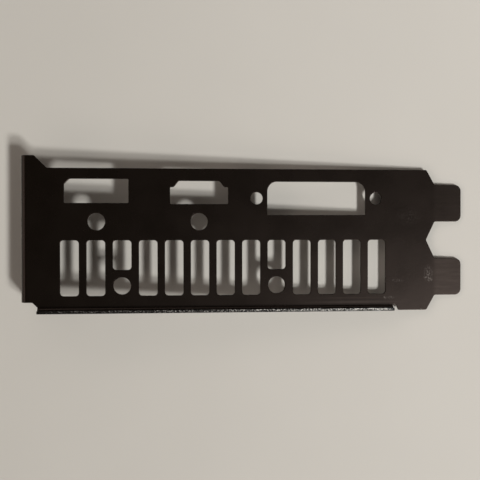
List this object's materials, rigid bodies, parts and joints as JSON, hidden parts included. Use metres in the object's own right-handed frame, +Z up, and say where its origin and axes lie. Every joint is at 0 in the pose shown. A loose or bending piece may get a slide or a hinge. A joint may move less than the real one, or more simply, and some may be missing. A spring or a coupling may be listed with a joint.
{
  "type": "expansion card bracket",
  "caption": "Folded black sheet-steel bracket for the rear of a graphics card, with a screw tab, tongues, socket cut-outs, vent slots and a low stiffening flange.",
  "frame": {"origin": "on the table, under the middle of the bracket's box as it lies", "axes": "+X from the screw tab to the tongues, +Y to the flared side of the tab, +Z up. The bracket lies as it rests, on the tab's free edge and the tongue tips with the flange up, so its plate dips 5.1 degrees towards +X"},
  "size_m": [0.1206, 0.042, 0.013],
  "materials": {
    "black_paint": "satin"
  },
  "bodies": {
    "root": {"slot_bracket": "black_paint"}
  },
  "joints": []
}
